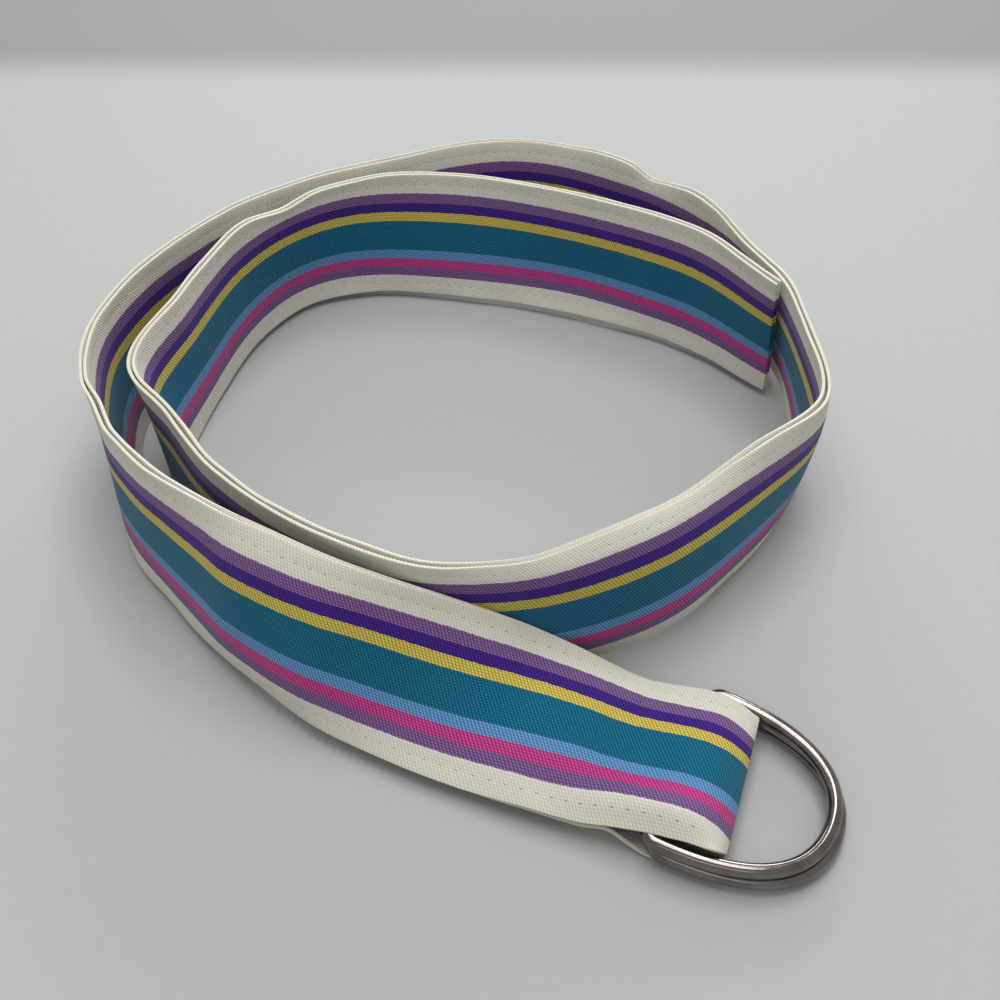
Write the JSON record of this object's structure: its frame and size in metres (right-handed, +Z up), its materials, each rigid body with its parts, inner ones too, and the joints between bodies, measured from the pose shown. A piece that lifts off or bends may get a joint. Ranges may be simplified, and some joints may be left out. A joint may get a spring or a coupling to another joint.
{
  "type": "ribbon belt with d-rings",
  "caption": "Striped ribbon belt, doubled and sewn, lying coiled on its edge, with stacked metal D-rings at one end for fastening.",
  "frame": {"origin": "on the floor, below the middle of the whole belt", "axes": "+Z up, +X to the right of the ring end's viewer, +Y away from them, towards the back of the coil"},
  "size_m": [0.1838, 0.2202, 0.0405],
  "materials": {
    "ribbon": "ribbed woven stripes, matt with a slight sheen",
    "ring_metal": "polished dark nickel"
  },
  "bodies": {
    "ribbon": {"ribbon_band": "ribbon"},
    "upper_ring": {"d_ring_upper": "ring_metal"},
    "lower_ring": {"d_ring_lower": "ring_metal"}
  },
  "joints": [
    {"name": "upper_ring_swing", "type": "hinge", "parent": "ribbon", "child": "upper_ring", "pos_m": [0.0488, -0.08363, 0.00669], "axis": [-0.453, -0.8913, 0.0171], "range_deg": [0, 80]},
    {"name": "lower_ring_swing", "type": "hinge", "parent": "ribbon", "child": "lower_ring", "pos_m": [0.05003, -0.08414, 0.00314], "axis": [-0.453, -0.8913, 0.0171], "range_deg": [-80, 0]}
  ]
}
